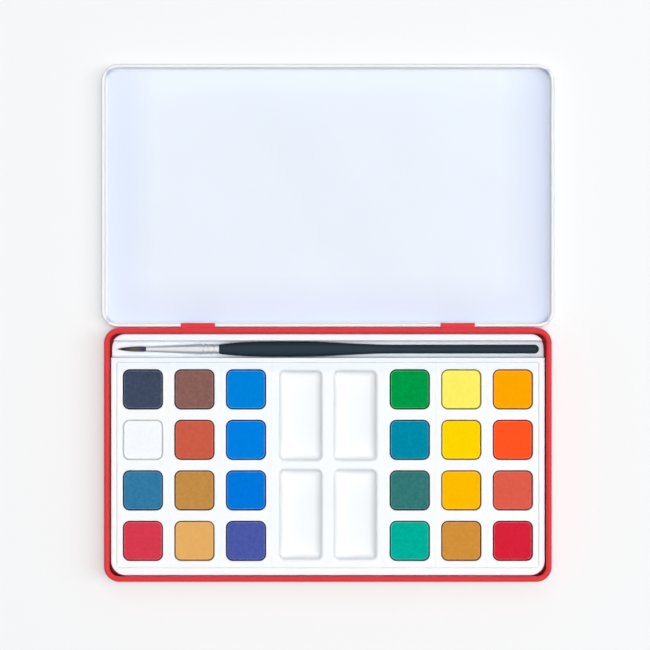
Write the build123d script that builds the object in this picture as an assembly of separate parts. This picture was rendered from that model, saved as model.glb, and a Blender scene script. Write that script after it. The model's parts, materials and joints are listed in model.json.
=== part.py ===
from build123d import *
import math
import os

# Watercolour paint set in a hinged tin, modelled open as it lies on a table.
# Millimetres. +X to the right, +Y from the front to the lid, +Z up.
# The origin is the middle of the lower tin's flat bottom.

# Sheet metal
METAL = 0.3
CLOSED_HEIGHT = 16.0
DRAW_RADIUS = 2.5
CURL_FLATS = 9
DRAW_FLATS = 3

# Lower tin
BASE_LENGTH = 221.3
BASE_WIDTH = 125.6
BASE_CORNER = 7.6
RIM_RADIUS = 1.4
RIM_TURN = 285.0
LID_SEAT_GAP = 0.3

# Lid, which closes over the lower tin
LID_CORNER = 8.2
HEM_RADIUS = 0.8
HEM_TURN = 295.0
LID_SIDE_GAP = 0.15
LID_BACK_GAP = 0.4
LID_FRONT_GAP = 1.2

# Hinge tongues, cut from the lower tin's back wall and curled round the lid's hem
TONGUE_WIDTH = 17.0
TONGUE_OFFSET = 64.5
TONGUE_CLEARANCE = 0.05
TONGUE_TURN = 235.0
TONGUE_ROOT = 0.7
TONGUE_BEND = 0.3
TONGUE_SLIT = 0.4
PUNCH_REACH = 0.1
WINDOW_TOP = 0.2
WINDOW_BOTTOM = 2.4
WINDOW_SIDE_GAP = 0.5

# Plastic tray, inside the lower tin's rolled rim
TRAY_END_GAP = 0.5
TRAY_SIDE_GAP = 0.25
TRAY_CORNER = 7.2
TRAY_TOP = 13.2
TRAY_WALL = 1.0
TRAY_EDGE = 0.6
RIB = 1.2
CELL_ROWS = 2
CELL_COLUMNS = 4

# Bay for the inserts, and the brush groove behind it, which is open at both ends
BAY_FLOOR = 5.7
BAY_END_RIDGE = 3.1
BAY_FRONT_RIDGE = 3.8
GROOVE_BACK_RIDGE = 3.3
GROOVE_FLOOR = 5.0
GROOVE_BOTTOM_RADIUS = 2.0
GROOVE_TO_BAY = 2.35

# Inserts: six strips of cups and one palette, side by side in the bay
INSERT_GAP = 0.15
INSERT_LIP = 1.2
INSERT_EDGE = 0.4
INSERT_CORNER = 0.6
MOULD_WALL = 0.8
STRIP_PITCH = 25.5
STRIPS_EACH_SIDE = 3

# Cups and cakes
CAKES_PER_STRIP = 4
CUP_SIZE = 19.9
CUP_CORNER = 3.4
CUP_END_MARGIN = 3.2
CORNER_FLATS = 3
CAKE_GAP = 0.4
CAKE_RECESS = 0.8
CAKE_EDGE = 0.4

# Mixing wells, two by two in the palette
WELL_SIDE_MARGIN = 3.6
WELL_END_MARGIN = 3.9
WELL_GAP_X = 5.9
WELL_GAP_Y = 4.4
WELL_CORNER = 2.6
WELL_TAPER = 6.0
WELL_BOTTOM_EDGE = 1.5

# Brush in its groove, from the tip of its hair at the left to the end of its handle
BRUSH_TIP_GAP = 2.4
BRUSH_TAIL_GAP = 2.4
BRUSH_SIDE_GAP = 0.5
BRUSH_REST_GAP = 0.1
HAIR_LENGTH = 14.8
HAIR_ROOT_GAP = 0.05
HAIR_BELLY_RADIUS = 1.25
HAIR_TIP_RADIUS = 0.5
HAIR_BELLY_AT = 4.4
HAIR_CUP_DEPTH = 4.4
HAIR_COUNT = 300
HAIR_THICKNESS = 0.045
HAIR_SIDES = 3
HAIR_PLUG = 3.0
HAIR_ROOT_DEPTH = 0.2
HAIR_ROOT_TURN = math.pi * (3 - math.sqrt(5))
FERRULE_LENGTH = 36.2
FERRULE_WALL = 0.25
FERRULE_MOUTH_RADIUS = 1.35
FERRULE_BACK_RADIUS = 2.45
FERRULE_TAPER_LENGTH = 27.0
CRIMP_DEPTH = 0.3
CRIMP_PITCH = 2.7
CRIMP_COUNT = 3
BRUSH_FLATS = 20
HANDLE_NECK_RADIUS = 2.4
HANDLE_BELLY_RADIUS = 3.75
HANDLE_BELLY_AT = 38.0
HANDLE_SWELL = 3.5
HANDLE_TAIL_RADIUS = 2.2
HANDLE_TAIL_AT = 88.0
HANDLE_STEPS = 6
HANDLE_END_FLATS = 4
TENON_LENGTH = 8.5
TENON_GAP = 0.05

CAKE_NAMES = (
    ("cake_charcoal", "cake_white", "cake_prussian_blue", "cake_crimson"),
    ("cake_umber", "cake_burnt_sienna", "cake_raw_sienna", "cake_yellow_ochre"),
    ("cake_cerulean", "cake_cobalt_blue", "cake_sky_blue", "cake_ultramarine"),
    ("cake_sap_green", "cake_turquoise", "cake_viridian", "cake_emerald"),
    ("cake_lemon_yellow", "cake_golden_yellow", "cake_deep_yellow", "cake_bronze"),
    ("cake_orange", "cake_vermilion", "cake_light_red", "cake_scarlet"),
)

# Sizes and places worked out from those above
HINGE_Z = CLOSED_HEIGHT / 2
HINGE_Y = BASE_WIDTH / 2 + LID_BACK_GAP + HEM_RADIUS
LID_LENGTH = BASE_LENGTH + 4 * HEM_RADIUS + 2 * LID_SIDE_GAP
LID_WIDTH = BASE_WIDTH + 4 * HEM_RADIUS + LID_BACK_GAP + LID_FRONT_GAP
LID_Y = BASE_WIDTH / 2 + LID_BACK_GAP + LID_WIDTH / 2
RIM_Z = CLOSED_HEIGHT - METAL - LID_SEAT_GAP - RIM_RADIUS
TRAY_LENGTH = BASE_LENGTH - 4 * RIM_RADIUS - 2 * TRAY_END_GAP
TRAY_WIDTH = BASE_WIDTH - 4 * RIM_RADIUS - 2 * TRAY_SIDE_GAP
GROOVE_WIDTH = 2 * (HANDLE_BELLY_RADIUS + BRUSH_SIDE_GAP)
GROOVE_Y = TRAY_WIDTH / 2 - GROOVE_BACK_RIDGE - GROOVE_WIDTH / 2
BAY_LENGTH = TRAY_LENGTH - 2 * BAY_END_RIDGE
BAY_CORNER = INSERT_CORNER + INSERT_GAP
BAY_BACK = GROOVE_Y - GROOVE_WIDTH / 2 - GROOVE_TO_BAY
BAY_FRONT = -TRAY_WIDTH / 2 + BAY_FRONT_RIDGE
BAY_WIDTH = BAY_BACK - BAY_FRONT
BAY_Y = (BAY_BACK + BAY_FRONT) / 2
INSERT_WIDTH = BAY_WIDTH - 2 * INSERT_GAP
PALETTE_SLOT = BAY_LENGTH - 2 * STRIPS_EACH_SIDE * STRIP_PITCH
CUP_FLOOR = BAY_FLOOR + MOULD_WALL
CAKE_PITCH = (INSERT_WIDTH - CUP_SIZE - 2 * CUP_END_MARGIN) / (CAKES_PER_STRIP - 1)
WELL_LENGTH = (INSERT_WIDTH - WELL_GAP_Y) / 2 - WELL_END_MARGIN
WELL_WIDTH = (PALETTE_SLOT - INSERT_GAP - WELL_GAP_X) / 2 - WELL_SIDE_MARGIN
WELL_PITCH_X = WELL_WIDTH + WELL_GAP_X
WELL_PITCH_Y = WELL_LENGTH + WELL_GAP_Y
BRUSH_Z = GROOVE_FLOOR + HANDLE_BELLY_RADIUS + BRUSH_REST_GAP
BRUSH_TIP_X = BRUSH_TIP_GAP - TRAY_LENGTH / 2
FERRULE_X = BRUSH_TIP_X + HAIR_LENGTH
FERRULE_BORE = FERRULE_BACK_RADIUS - FERRULE_WALL - CRIMP_DEPTH
HAIR_ROOT_RADIUS = FERRULE_MOUTH_RADIUS - FERRULE_WALL - HAIR_ROOT_GAP
HANDLE_X = FERRULE_X + FERRULE_LENGTH
HANDLE_LENGTH = TRAY_LENGTH / 2 - BRUSH_TAIL_GAP - HANDLE_X


def block(length, width, corner, bottom, top, x=0.0, y=0.0):
    """Upright block with rounded corners between two heights."""
    outline = Pos(x, y, bottom) * RectangleRounded(length, width, corner)
    return extrude(outline, top - bottom)


def box(length, width, bottom, top, x=0.0, y=0.0):
    """Upright block with sharp corners between two heights."""
    return extrude(Pos(x, y, bottom) * Rectangle(length, width), top - bottom)


def edges_at(solid, height):
    """Edges of a solid that lie flat at one height."""
    return solid.edges().filter_by_position(Axis.Z, height, height)


def flat_sided(rings):
    """Solid with flat sides between rings of points, closed by the first and the last ring."""
    faces = [Face(Wire.make_polygon(ring)) for ring in (rings[0], rings[-1])]
    for lower, upper in zip(rings, rings[1:]):
        for i in range(len(lower)):
            faces.append(Face(Wire.make_polygon([lower[i - 1], lower[i], upper[i], upper[i - 1]])))
    return Part() + Solid(Shell(faces))


def arc_points(centre, radius, start, turn, flats):
    """Points along an arc, evenly spaced, from its start angle in degrees."""
    angles = [math.radians(start + turn * i / flats) for i in range(flats + 1)]
    return [(centre[0] + radius * math.cos(a), centre[1] + radius * math.sin(a)) for a in angles]


def tin(length, width, corner, height, roll_radius, roll_turn):
    """Pan of sheet metal: flat floor, round drawn edge, upright wall, and its top edge rolled inwards.

    The wall's section is drawn with its outer face at x = 0, and carried once round the outline.
    """
    edge_centre = (-DRAW_RADIUS, DRAW_RADIUS)
    roll_centre = (-roll_radius, height)
    outside = arc_points(edge_centre, DRAW_RADIUS, -90, 90, DRAW_FLATS)
    outside += arc_points(roll_centre, roll_radius, 0, roll_turn, CURL_FLATS)
    inside = arc_points(edge_centre, DRAW_RADIUS - METAL, -90, 90, DRAW_FLATS)
    inside += arc_points(roll_centre, roll_radius - METAL, 0, roll_turn, CURL_FLATS)
    section = make_face(Polyline(*outside, *reversed(inside), close=True))
    path = RectangleRounded(length, width, corner).wire()
    outward = (path % 0).cross(Vector(0, 0, 1))
    wall_plane = Plane(origin=path @ 0, x_dir=outward, z_dir=outward.cross(Vector(0, 0, 1)))
    wall = sweep(wall_plane * section, path=path)
    floor = block(length - 2 * DRAW_RADIUS, width - 2 * DRAW_RADIUS, corner - DRAW_RADIUS, 0, METAL)
    return wall + floor


def tongue(x):
    """Hinge tongue: bent out of the back wall, over the lid's hem and down behind it."""
    inner = HEM_RADIUS + TONGUE_CLEARANCE
    outer = inner + METAL
    wall_face = BASE_WIDTH / 2 - HINGE_Y
    root_top = outer + TONGUE_ROOT
    outside = CenterArc((0, 0), outer, 90, -TONGUE_TURN)
    inside = CenterArc((0, 0), inner, 90, -TONGUE_TURN)
    bend_out = (wall_face + TONGUE_BEND, outer + TONGUE_BEND)
    outer_bend = CenterArc(bend_out, TONGUE_BEND, 180, 90)
    inner_bend = CenterArc(bend_out, TONGUE_BEND + METAL, 180, 90)
    root = Line((wall_face, root_top), (wall_face - METAL, root_top))
    outline = make_face([
        outside, Line(outside @ 1, inside @ 1), inside, Line(inside @ 0, inner_bend @ 1), inner_bend,
        Line(inner_bend @ 0, root @ 1), root, Line(root @ 0, outer_bend @ 0), outer_bend,
        Line(outer_bend @ 1, outside @ 0)])
    section_plane = Plane(origin=(x - TONGUE_WIDTH / 2, HINGE_Y, HINGE_Z), x_dir=(0, 1, 0), z_dir=(1, 0, 0))
    return extrude(section_plane * outline, TONGUE_WIDTH)


def punch(width, bottom, top, y):
    """Cutter for a hole through the sheet metal of an upright wall, whose middle is at y."""
    return box(width, METAL + 2 * PUNCH_REACH, bottom, top, y=y)


def make_base():
    """Lower tin, with two hinge tongues cut and bent out of its back wall."""
    base = tin(BASE_LENGTH, BASE_WIDTH, BASE_CORNER, RIM_Z, RIM_RADIUS, RIM_TURN)
    inner = HEM_RADIUS + TONGUE_CLEARANCE
    curl_length = math.radians(TONGUE_TURN) * (inner + METAL / 2)
    flat_length = TONGUE_ROOT + HINGE_Y - BASE_WIDTH / 2 + curl_length
    top = HINGE_Z + inner + METAL + TONGUE_ROOT
    hole = punch(TONGUE_WIDTH + 2 * TONGUE_SLIT, top - flat_length, top, (BASE_WIDTH - METAL) / 2)
    for x in (-TONGUE_OFFSET, TONGUE_OFFSET):
        base -= Pos(x, 0, 0) * hole
        base += tongue(x)
    return base


def make_lid():
    """Lid lying on its back, with a window through the skirt below the hem for each tongue."""
    lid = tin(LID_LENGTH, LID_WIDTH, LID_CORNER, HINGE_Z, HEM_RADIUS, HEM_TURN)
    width = TONGUE_WIDTH + 2 * WINDOW_SIDE_GAP
    window = punch(width, HINGE_Z - WINDOW_BOTTOM, HINGE_Z - WINDOW_TOP, (METAL - LID_WIDTH) / 2)
    for x in (-TONGUE_OFFSET, TONGUE_OFFSET):
        lid -= Pos(x, 0, 0) * window
    return Pos(0, LID_Y, 0) * lid


def make_tray():
    """Moulded tray, open underneath, with the bay for the inserts and the brush groove."""
    bottom = METAL
    deck = TRAY_TOP - TRAY_WALL
    tray = block(TRAY_LENGTH, TRAY_WIDTH, TRAY_CORNER, bottom, TRAY_TOP)
    tray = chamfer(edges_at(tray, TRAY_TOP), TRAY_EDGE)

    # Hollow under the outer deck, round a core that holds the bay and the groove
    core_back = GROOVE_Y + GROOVE_WIDTH / 2 + TRAY_WALL
    core_front = BAY_FRONT - TRAY_WALL
    core = box(BAY_LENGTH + 2 * INSERT_GAP + 2 * TRAY_WALL, core_back - core_front, bottom, deck,
               y=(core_back + core_front) / 2)
    core += box(TRAY_LENGTH, GROOVE_WIDTH + 2 * TRAY_WALL, GROOVE_FLOOR - TRAY_WALL, deck, y=GROOVE_Y)
    tray -= block(
        TRAY_LENGTH - 2 * TRAY_WALL, TRAY_WIDTH - 2 * TRAY_WALL, TRAY_CORNER - TRAY_WALL, bottom, deck) - core

    # Brush groove through both ends, rounded along its bottom
    section = Rectangle(GROOVE_WIDTH, TRAY_TOP - GROOVE_FLOOR, align=(Align.CENTER, Align.MIN))
    section = fillet(section.vertices().group_by(Axis.Y)[0], GROOVE_BOTTOM_RADIUS)
    groove_plane = Plane(origin=(-TRAY_LENGTH / 2, GROOVE_Y, GROOVE_FLOOR), x_dir=(0, 1, 0), z_dir=(1, 0, 0))
    tray -= extrude(groove_plane * section, TRAY_LENGTH)
    tray -= box(BAY_LENGTH, GROOVE_WIDTH, bottom, GROOVE_FLOOR - TRAY_WALL, y=GROOVE_Y)

    # Bay, with ribs under its floor
    tray -= block(BAY_LENGTH + 2 * INSERT_GAP, BAY_WIDTH, BAY_CORNER, BAY_FLOOR, TRAY_TOP, y=BAY_Y)
    cell_length = (BAY_LENGTH - (CELL_COLUMNS - 1) * RIB) / CELL_COLUMNS
    cell_width = (BAY_WIDTH - (CELL_ROWS - 1) * RIB) / CELL_ROWS
    cell = box(cell_length, cell_width, bottom, BAY_FLOOR - TRAY_WALL)
    for place in GridLocations(cell_length + RIB, cell_width + RIB, CELL_COLUMNS, CELL_ROWS):
        tray -= Pos(0, BAY_Y, 0) * place * cell
    return tray


def strip_x(column):
    """Middle of a strip, counted outwards from the palette: negative columns lie left of it."""
    distance = PALETTE_SLOT / 2 + (abs(column) - 0.5) * STRIP_PITCH
    return math.copysign(distance, column)


def soft_ring(length, width, corner, height):
    """Points round a rectangle at one height, each corner rounded in a few flats."""
    points = []
    for quarter, (side_x, side_y) in enumerate(((1, 1), (-1, 1), (-1, -1), (1, -1))):
        centre = (side_x * (length / 2 - corner), side_y * (width / 2 - corner))
        points += arc_points(centre, corner, 90 * quarter, 90, CORNER_FLATS)
    return [(x, y, height) for x, y in points]


def soft_block(length, width, corner, bottom, top, edge=0.0):
    """Upright block with softened corners, and its top edge clipped where an edge is given."""
    rings = [soft_ring(length, width, corner, bottom), soft_ring(length, width, corner, top - edge)]
    if edge:
        rings.append(soft_ring(length - 2 * edge, width - 2 * edge, corner - edge, top))
    return flat_sided(rings)


def insert_lip(length):
    """Top plate of an insert, level with the tray's deck."""
    return soft_block(length, INSERT_WIDTH, INSERT_CORNER, TRAY_TOP - INSERT_LIP, TRAY_TOP, INSERT_EDGE)


def cup_rows():
    """Distances of the cups from the middle of a strip, from the back to the front."""
    first = (CAKES_PER_STRIP - 1) / 2 * CAKE_PITCH
    return [first - i * CAKE_PITCH for i in range(CAKES_PER_STRIP)]


def make_strip():
    """Strip of cups hanging from one top plate."""
    strip = insert_lip(STRIP_PITCH - INSERT_GAP)
    outside = CUP_SIZE + 2 * MOULD_WALL
    for y in cup_rows():
        strip += box(outside, outside, BAY_FLOOR, TRAY_TOP - INSERT_LIP, y=y)
    hollow = soft_block(CUP_SIZE, CUP_SIZE, CUP_CORNER, CUP_FLOOR, TRAY_TOP)
    for y in cup_rows():
        strip -= Pos(0, y, 0) * hollow
    return strip


def make_cake():
    """Block of pressed paint, a little lower than the mouth of its cup."""
    size = CUP_SIZE - 2 * CAKE_GAP
    return soft_block(size, size, CUP_CORNER - CAKE_GAP, CUP_FLOOR, TRAY_TOP - CAKE_RECESS, CAKE_EDGE)


def well_ring(height, grow):
    """Outline of a mixing well at one height: it narrows downwards, and grows by a wall or an edge."""
    inset = (TRAY_TOP - height) * math.tan(math.radians(WELL_TAPER)) - grow
    return soft_ring(WELL_WIDTH - 2 * inset, WELL_LENGTH - 2 * inset, WELL_CORNER - inset, height)


def make_palette():
    """Palette with its wells hanging from one top plate."""
    palette = insert_lip(PALETTE_SLOT - INSERT_GAP)
    wells = GridLocations(WELL_PITCH_X, WELL_PITCH_Y, 2, 2)
    shell = flat_sided([well_ring(BAY_FLOOR, MOULD_WALL), well_ring(TRAY_TOP, MOULD_WALL)])
    floor = well_ring(CUP_FLOOR, -WELL_BOTTOM_EDGE)
    hollow = flat_sided([floor, well_ring(CUP_FLOOR + WELL_BOTTOM_EDGE, 0), well_ring(TRAY_TOP, 0)])
    for place in wells:
        palette += place * shell
    for place in wells:
        palette -= place * hollow
    return palette


def turned(outline):
    """Solid round the brush's axis, from the places and radii along it, in flats."""
    rings = []
    for x, radius in outline:
        ring = arc_points((GROOVE_Y, BRUSH_Z), radius, 0, 360, BRUSH_FLATS)
        rings.append([(x, y, z) for y, z in ring[:-1]])
    return flat_sided(rings)


def swelling(start, end, start_radius, end_radius, ease):
    """Outline that runs from one radius to another, as an ease tells; it leaves out its end."""
    points = []
    for i in range(HANDLE_STEPS):
        share = i / HANDLE_STEPS
        radius = start_radius + ease(share) * (end_radius - start_radius)
        points.append((start + share * (end - start), radius))
    return points


def quick_start(share):
    """Ease that leaves fast and arrives level."""
    return 1 - (1 - share) ** HANDLE_SWELL


def level_both_ways(share):
    """Ease that leaves and arrives level."""
    return (1 - math.cos(math.pi * share)) / 2


def make_handle():
    """Turned handle: a tenon for the ferrule, a belly, and a thin tail with a round end."""
    belly = HANDLE_X + HANDLE_BELLY_AT
    tail = HANDLE_X + HANDLE_TAIL_AT
    cap = HANDLE_X + HANDLE_LENGTH - HANDLE_TAIL_RADIUS
    tenon_radius = FERRULE_BORE - TENON_GAP
    outline = [(HANDLE_X - TENON_LENGTH, tenon_radius), (HANDLE_X, tenon_radius)]
    outline += swelling(HANDLE_X, belly, HANDLE_NECK_RADIUS, HANDLE_BELLY_RADIUS, quick_start)
    outline += swelling(belly, tail, HANDLE_BELLY_RADIUS, HANDLE_TAIL_RADIUS, level_both_ways)
    outline += [(tail, HANDLE_TAIL_RADIUS)]
    outline += arc_points((cap, 0), HANDLE_TAIL_RADIUS, 90, -90, HANDLE_END_FLATS)[:-1]
    return turned(outline)


def make_ferrule():
    """Tapered metal tube, crimped on the handle's tenon."""
    taper_end = FERRULE_X + FERRULE_TAPER_LENGTH
    outline = [(FERRULE_X, FERRULE_MOUTH_RADIUS)]
    for crimp in range(CRIMP_COUNT):
        start = taper_end + crimp * CRIMP_PITCH
        outline.append((start, FERRULE_BACK_RADIUS))
        outline.append((start + CRIMP_PITCH / 2, FERRULE_BACK_RADIUS - CRIMP_DEPTH))
    outline += [(taper_end + CRIMP_COUNT * CRIMP_PITCH, FERRULE_BACK_RADIUS), (HANDLE_X, FERRULE_BACK_RADIUS)]
    mouth = (FERRULE_X, FERRULE_MOUTH_RADIUS - FERRULE_WALL)
    return turned(outline) - turned([mouth, (taper_end, FERRULE_BORE), (HANDLE_X, FERRULE_BORE)])


def hair_ring(x, scale, centre):
    """Corners of one hair at one place, where the whole tuft is drawn in or out by a scale."""
    corners = arc_points(centre, HAIR_THICKNESS, 0, 360, HAIR_SIDES)[:-1]
    return [(x, GROOVE_Y + scale * y, BRUSH_Z + scale * z) for y, z in corners]


def make_hair():
    """Pointed tuft: hairs rooted in a round plug, swelling to a belly and drawn in to the tip."""
    plug = turned([(FERRULE_X, HAIR_ROOT_RADIUS), (FERRULE_X + HAIR_PLUG, HAIR_ROOT_RADIUS)])
    belly = FERRULE_X - HAIR_BELLY_AT
    hairs = []
    for i in range(HAIR_COUNT):
        radius = math.sqrt((i + 0.5) / HAIR_COUNT) * (1 - 2 * HAIR_THICKNESS)
        angle = i * HAIR_ROOT_TURN
        centre = (radius * math.cos(angle), radius * math.sin(angle))
        end = BRUSH_TIP_X + HAIR_CUP_DEPTH * radius ** 2
        drawn_in = (belly - end) / (belly - BRUSH_TIP_X)
        end_scale = HAIR_BELLY_RADIUS + drawn_in * (HAIR_TIP_RADIUS - HAIR_BELLY_RADIUS)
        hairs.append(flat_sided([
            hair_ring(FERRULE_X + HAIR_ROOT_DEPTH, HAIR_ROOT_RADIUS, centre),
            hair_ring(belly, HAIR_BELLY_RADIUS, centre),
            hair_ring(end, end_scale, centre)]))
    return plug.fuse(Compound(hairs))


if __name__ == "__main__":
    os.makedirs("parts", exist_ok=True)
    export_step(make_base(), "parts/tin_base.step")
    export_step(make_lid(), "parts/tin_lid.step")
    export_step(make_tray(), "parts/tray.step")
    export_step(Pos(0, BAY_Y, 0) * make_palette(), "parts/palette.step")
    strip = make_strip()
    cake = make_cake()
    columns = [i for i in range(-STRIPS_EACH_SIDE, STRIPS_EACH_SIDE + 1) if i != 0]
    for number, (column, names) in enumerate(zip(columns, CAKE_NAMES), start=1):
        x = strip_x(column)
        export_step(Pos(x, BAY_Y, 0) * strip, f"parts/pan_strip_{number}.step")
        for y, name in zip(cup_rows(), names):
            export_step(Pos(x, BAY_Y + y, 0) * cake, f"parts/{name}.step")
    export_step(make_handle(), "parts/brush_handle.step")
    export_step(make_ferrule(), "parts/brush_ferrule.step")
    export_step(make_hair(), "parts/brush_hair.step")
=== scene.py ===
import json
import math
import random

import bmesh
import bpy
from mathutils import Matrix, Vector
from mathutils import noise as mathutils_noise
from mathutils.geometry import tessellate_polygon

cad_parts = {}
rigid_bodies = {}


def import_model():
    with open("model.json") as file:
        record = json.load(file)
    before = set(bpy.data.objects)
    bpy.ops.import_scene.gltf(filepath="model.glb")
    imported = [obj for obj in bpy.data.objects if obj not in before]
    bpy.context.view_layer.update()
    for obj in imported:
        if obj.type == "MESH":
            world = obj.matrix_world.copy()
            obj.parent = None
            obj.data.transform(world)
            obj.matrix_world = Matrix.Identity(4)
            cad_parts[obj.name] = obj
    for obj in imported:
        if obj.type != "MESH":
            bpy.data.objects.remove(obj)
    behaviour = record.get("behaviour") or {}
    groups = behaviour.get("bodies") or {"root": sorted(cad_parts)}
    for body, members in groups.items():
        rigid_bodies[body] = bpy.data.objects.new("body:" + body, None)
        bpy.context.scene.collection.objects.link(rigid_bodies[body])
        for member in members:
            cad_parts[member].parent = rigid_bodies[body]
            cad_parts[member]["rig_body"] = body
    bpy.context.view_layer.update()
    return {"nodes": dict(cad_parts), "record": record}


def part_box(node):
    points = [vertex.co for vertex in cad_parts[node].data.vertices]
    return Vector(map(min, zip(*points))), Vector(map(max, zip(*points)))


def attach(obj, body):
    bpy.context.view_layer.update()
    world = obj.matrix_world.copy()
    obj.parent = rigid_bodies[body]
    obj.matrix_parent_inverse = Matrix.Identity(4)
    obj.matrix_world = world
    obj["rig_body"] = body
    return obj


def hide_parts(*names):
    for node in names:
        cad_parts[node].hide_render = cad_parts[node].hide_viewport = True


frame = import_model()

# Looks of the open watercolour set. Sizes are in millimetres and are turned into metres by MM.
MM = 0.001

# View: straight down on the open set, with the image's middle near the hinge
CAMERA_HEIGHT = 1200.0
VIEW_WIDTH = 325.0
VIEW_MIDDLE = (-1.4, 64.15)

# Sheet metal
METAL = 0.3
DRAW_RADIUS = 2.5
BASE_CORNER = 7.6
RIM_RADIUS = 1.4
RIM_TURN = 285.0
LID_CORNER = 8.2
HEM_RADIUS = 0.8
HEM_TURN = 295.0

# Hinge: tongues of the base, curled round the lid's hem through slits and windows
HINGE_Z = 8.0
WALL_GAP = 0.4
TONGUE_WIDTH = 17.0
TONGUE_OFFSET = 64.5
TONGUE_CLEARANCE = 0.05
TONGUE_TURN = 235.0
TONGUE_ROOT = 0.7
TONGUE_BEND = 0.3
SLIT_SIDE_GAP = 0.4
SLIT_BOTTOM = 3.85
WINDOW_SIDE_GAP = 0.5
WINDOW_BOTTOM = 5.6
WINDOW_TOP = 7.8

# Tray
TRAY_CORNER = 7.2
TRAY_EDGE = 0.9
BAY_LENGTH = 208.8
BAY_RIB_LENGTH = 208.5
BAY_FLOOR = 5.7
BAY_CORNER = 0.75
BAY_EDGE = 0.3
GROOVE_WIDTH = 8.5
GROOVE_FLOOR = 5.0
GROOVE_BOTTOM = 1.6
GROOVE_EDGE = 0.4
CUTTER_REACH = 2.0
WALL = 1.0
RIB = 1.2
CELL_COLUMNS = 4
CELL_ROWS = 2

# Inserts: their plates grow a little, which nearly closes the seams between them
INSERT_GAP = 0.15
LIP = 1.2
LIP_GROWTH = 0.11
LIP_CORNER = 0.4
LIP_EDGE = 0.25
MOULD_WALL = 0.8
CUP_SIZE = 19.9
CUP_CORNER = 3.4
CUP_FLOOR = 6.5
CUP_EDGE = 0.35
CUP_BOTTOM = 0.6
CUP_END_MARGIN = 3.2
CUPS = 4
WELL_SIDE_MARGIN = 3.6
WELL_END_MARGIN = 3.9
WELL_GAP = (5.9, 4.4)
WELL_CORNER = 2.6
WELL_TAPER = 6.0
WELL_EDGE = 1.2
WELL_BOTTOM = 3.0

# Cakes, and the film of paint between them and their cups
CAKE_CORNER = 3.0
CAKE_FOOT = 0.6
CAKE_EDGE = 0.7
CAKE_RELIEF = 0.07
CAKE_RELIEF_SCALE = 0.16
CAKE_RINGS = 6
FILM_GAP = 0.03
FILM_DEPTH = 1.0
FILM_THICKNESS = 0.2

# Ferrule
FERRULE_MOUTH = 1.35
FERRULE_WALL = 0.25
FERRULE_BACK = 2.45
FERRULE_TAPER = 27.0
CRIMP_PITCH = 2.7
CRIMP_COUNT = 3
CRIMP_DEPTH = 0.3
CRIMP_STEPS = 60

# Handle
TENON_RADIUS = FERRULE_BACK - FERRULE_WALL - CRIMP_DEPTH
NECK_RADIUS = 2.4
NECK_CHAMFER = 0.15
BELLY_RADIUS = 3.75
BELLY_AT = 38.0
SWELL = 3.5
TAIL_RADIUS = 2.2
TAIL_AT = 88.0
TAIL_TURN = 80.0
TAIL_STEPS = 10
PROFILE_STEPS = 24

# Tuft: hairs packed in a spiral, which swell from the ferrule's mouth and close to a point
HAIR_SEED = 11
HAIR_COUNT = 650
HAIR_RADIUS = 0.035
HAIR_THINNING = 0.75
HAIR_ROOT_DEPTH = 0.3
HAIR_ROOT_REACH = 1.06
HAIR_FLARE = 0.12
HAIR_ENVELOPE = 1.3
HAIR_TAPER = 12.0
HAIR_POINT = 1.6
HAIR_FULLNESS = 0.68
HAIR_TIP_SPREAD = 3.4
HAIR_UNEVENNESS = 0.7
HAIR_STATIONS = 9
HAIR_SIDES = 4
HAIR_SHARP_ANGLE = 100.0
GOLDEN_ANGLE = math.pi * (3 - math.sqrt(5))

# Steps of the curves, least radius of a corner and sharpest angle that is shaded smooth
CORNER_STEPS = 10
EDGE_STEPS = 5
SOFT_EDGE_STEPS = 10
DRAW_STEPS = 8
ROLL_STEPS = 20
TONGUE_STEPS = 28
LATHE_STEPS = 56
LEAST_CORNER = 0.02
SHARP_ANGLE = 40.0

# Share of a texture's range over which its two colours run into each other
BLEND_START, BLEND_END = 0.3, 0.7

# Textures: cycles per millimetre, detail, roughness and stretch along each axis
ENAMEL_CLOUD = (0.02, 2.0)
ENAMEL_PEEL = (1.2, 2.0)
PLASTIC_CLOUD = (0.08, 2.0)
PLASTIC_GRAIN = (4.0, 2.0)
PAINT_MOTTLE = (0.6, 7.0, 0.62)
PAINT_GRAIN = (3.0, 6.0, 0.7)
WOOD_GRAIN = (0.6, 4.0, 0.6, (0.04, 1.0, 1.0))
LACQUER_WAVES = (0.8, 2.0, 0.5, (0.1, 1.0, 1.0))
METAL_LINES = (2.0, 3.0, 0.6, (0.02, 1.0, 1.0))
HAIR_STREAKS = (3.0, 3.0, 0.6, (0.03, 1.0, 1.0))
PAPER_CLOUD = (0.01, 2.0)

# Height of each surface's relief
ENAMEL_RELIEF = 0.003
PLASTIC_RELIEF = 0.003
PAINT_RELIEF = 0.05
LACQUER_RELIEF = 0.01
METAL_RELIEF = 0.004

# Shader values of each finish
ENAMEL = {"Roughness": 0.32}
PLASTIC = {
    "Roughness": 0.35,
    "Subsurface Weight": 0.12,
    "Subsurface Radius": (1.0, 1.0, 1.0),
    "Subsurface Scale": 0.8 * MM,
}
PAINT = {"Roughness": 0.8, "Specular IOR Level": 0.02}
LACQUER = {"Roughness": 0.3, "Specular IOR Level": 0.12}
METAL_PLATE = {"Metallic": 0.85, "Roughness": 0.36}
HAIR = {"Roughness": 0.45}
PAPER = {"Roughness": 0.9, "Specular IOR Level": 0.0}

# Darkest and lightest tone of each surface, as shares of its colour
ENAMEL_TONES = (0.985, 1.01)
DECK_TONES = (1.01, 1.025)
# Tones of the painted shade in the wells and of the painted bluish shade over the groove
WELL_SHADE_TONES = (0.93, 0.94)
GROOVE_SHADE_TONES = (0.985, 1.0)
# Tones of the painted shade in the gap round each cake
GAP_SHADE_TONES = (1.0, 1.2)
LACQUER_TONES = (0.65, 0.8)
METAL_TONES = (1.0, 1.12)
HAIR_TIP_TONES = (0.4, 0.9)
HAIR_BASE_TONES = (0.7, 1.3)
PAPER_TONES = (0.998, 1.0)
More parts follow.
